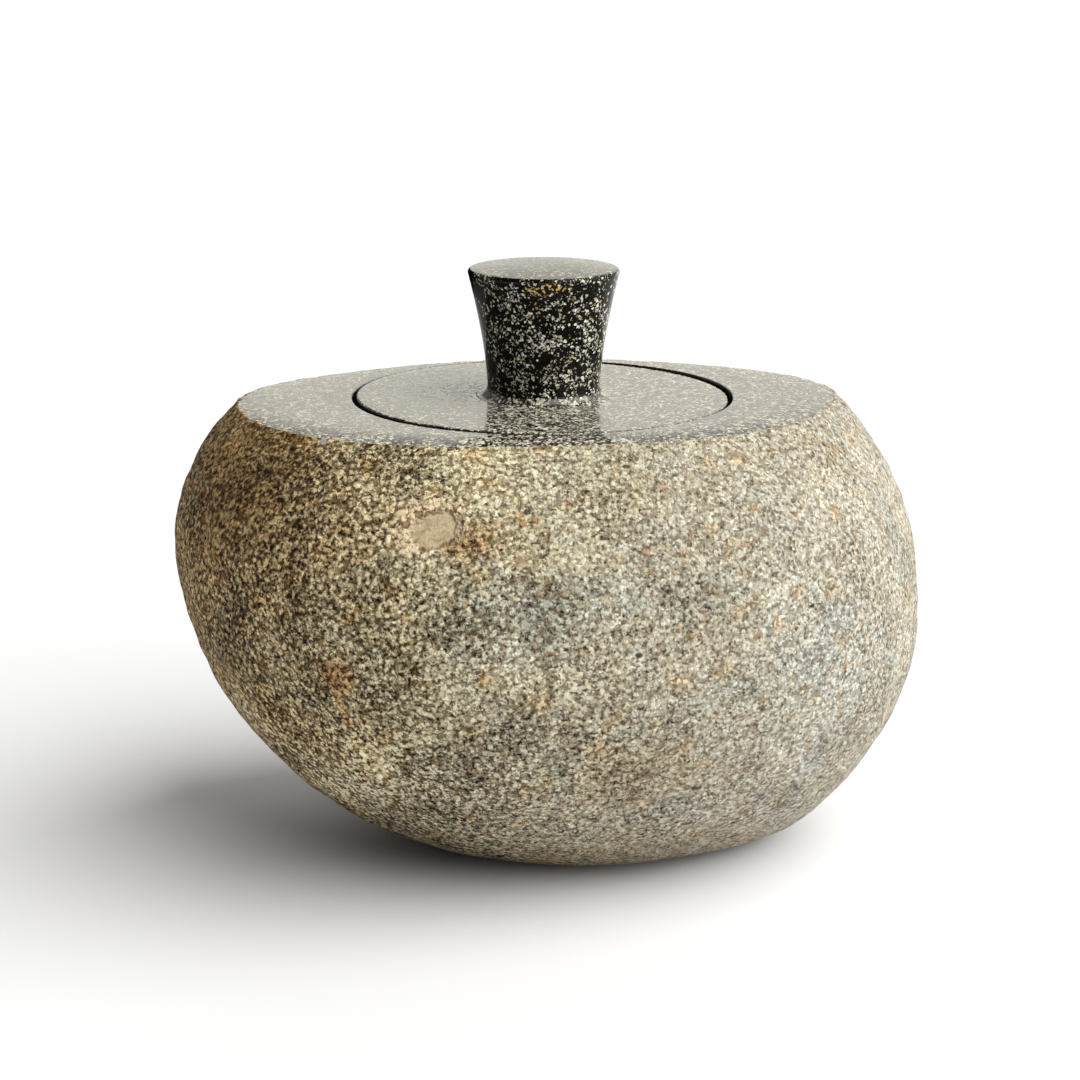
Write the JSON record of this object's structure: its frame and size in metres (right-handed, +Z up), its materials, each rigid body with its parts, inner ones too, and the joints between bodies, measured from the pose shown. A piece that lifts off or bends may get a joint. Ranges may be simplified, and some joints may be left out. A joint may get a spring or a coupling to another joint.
{
  "type": "go stone bowl",
  "caption": "River pebble hollowed into a bowl for go stones, with a honed top and a flush round stone lid lifted by a flared knob.",
  "frame": {"origin": "on the table, under the middle of the pebble's length and depth", "axes": "+X along the pebble's length, to the right seen from the front; -Y is the front; +Z is up and is the way the lid lifts off"},
  "size_m": [0.1605, 0.1276, 0.1259],
  "materials": {
    "pebble_stone": "weathered river pebble skin, tan-grey, with the top and the hollow honed dark",
    "honed_stone": "honed dark granite with fine white flecks",
    "polished_stone": "polished dark granite with fine white flecks",
    "dowel_steel": "plain stainless pin, hidden inside",
    "pad_felt": "pressed wool felt, charcoal"
  },
  "bodies": {
    "bowl": {"bowl_body": "pebble_stone", "felt_pad_1": "pad_felt", "felt_pad_2": "pad_felt", "felt_pad_3": "pad_felt", "felt_pad_4": "pad_felt"},
    "lid": {"lid_disc": "honed_stone", "lid_knob": "polished_stone", "knob_dowel": "dowel_steel"}
  },
  "joints": [
    {"name": "lid_lift", "type": "slide", "parent": "bowl", "child": "lid", "axis": [0, 0, 1], "range_m": [0, 0.12]}
  ]
}
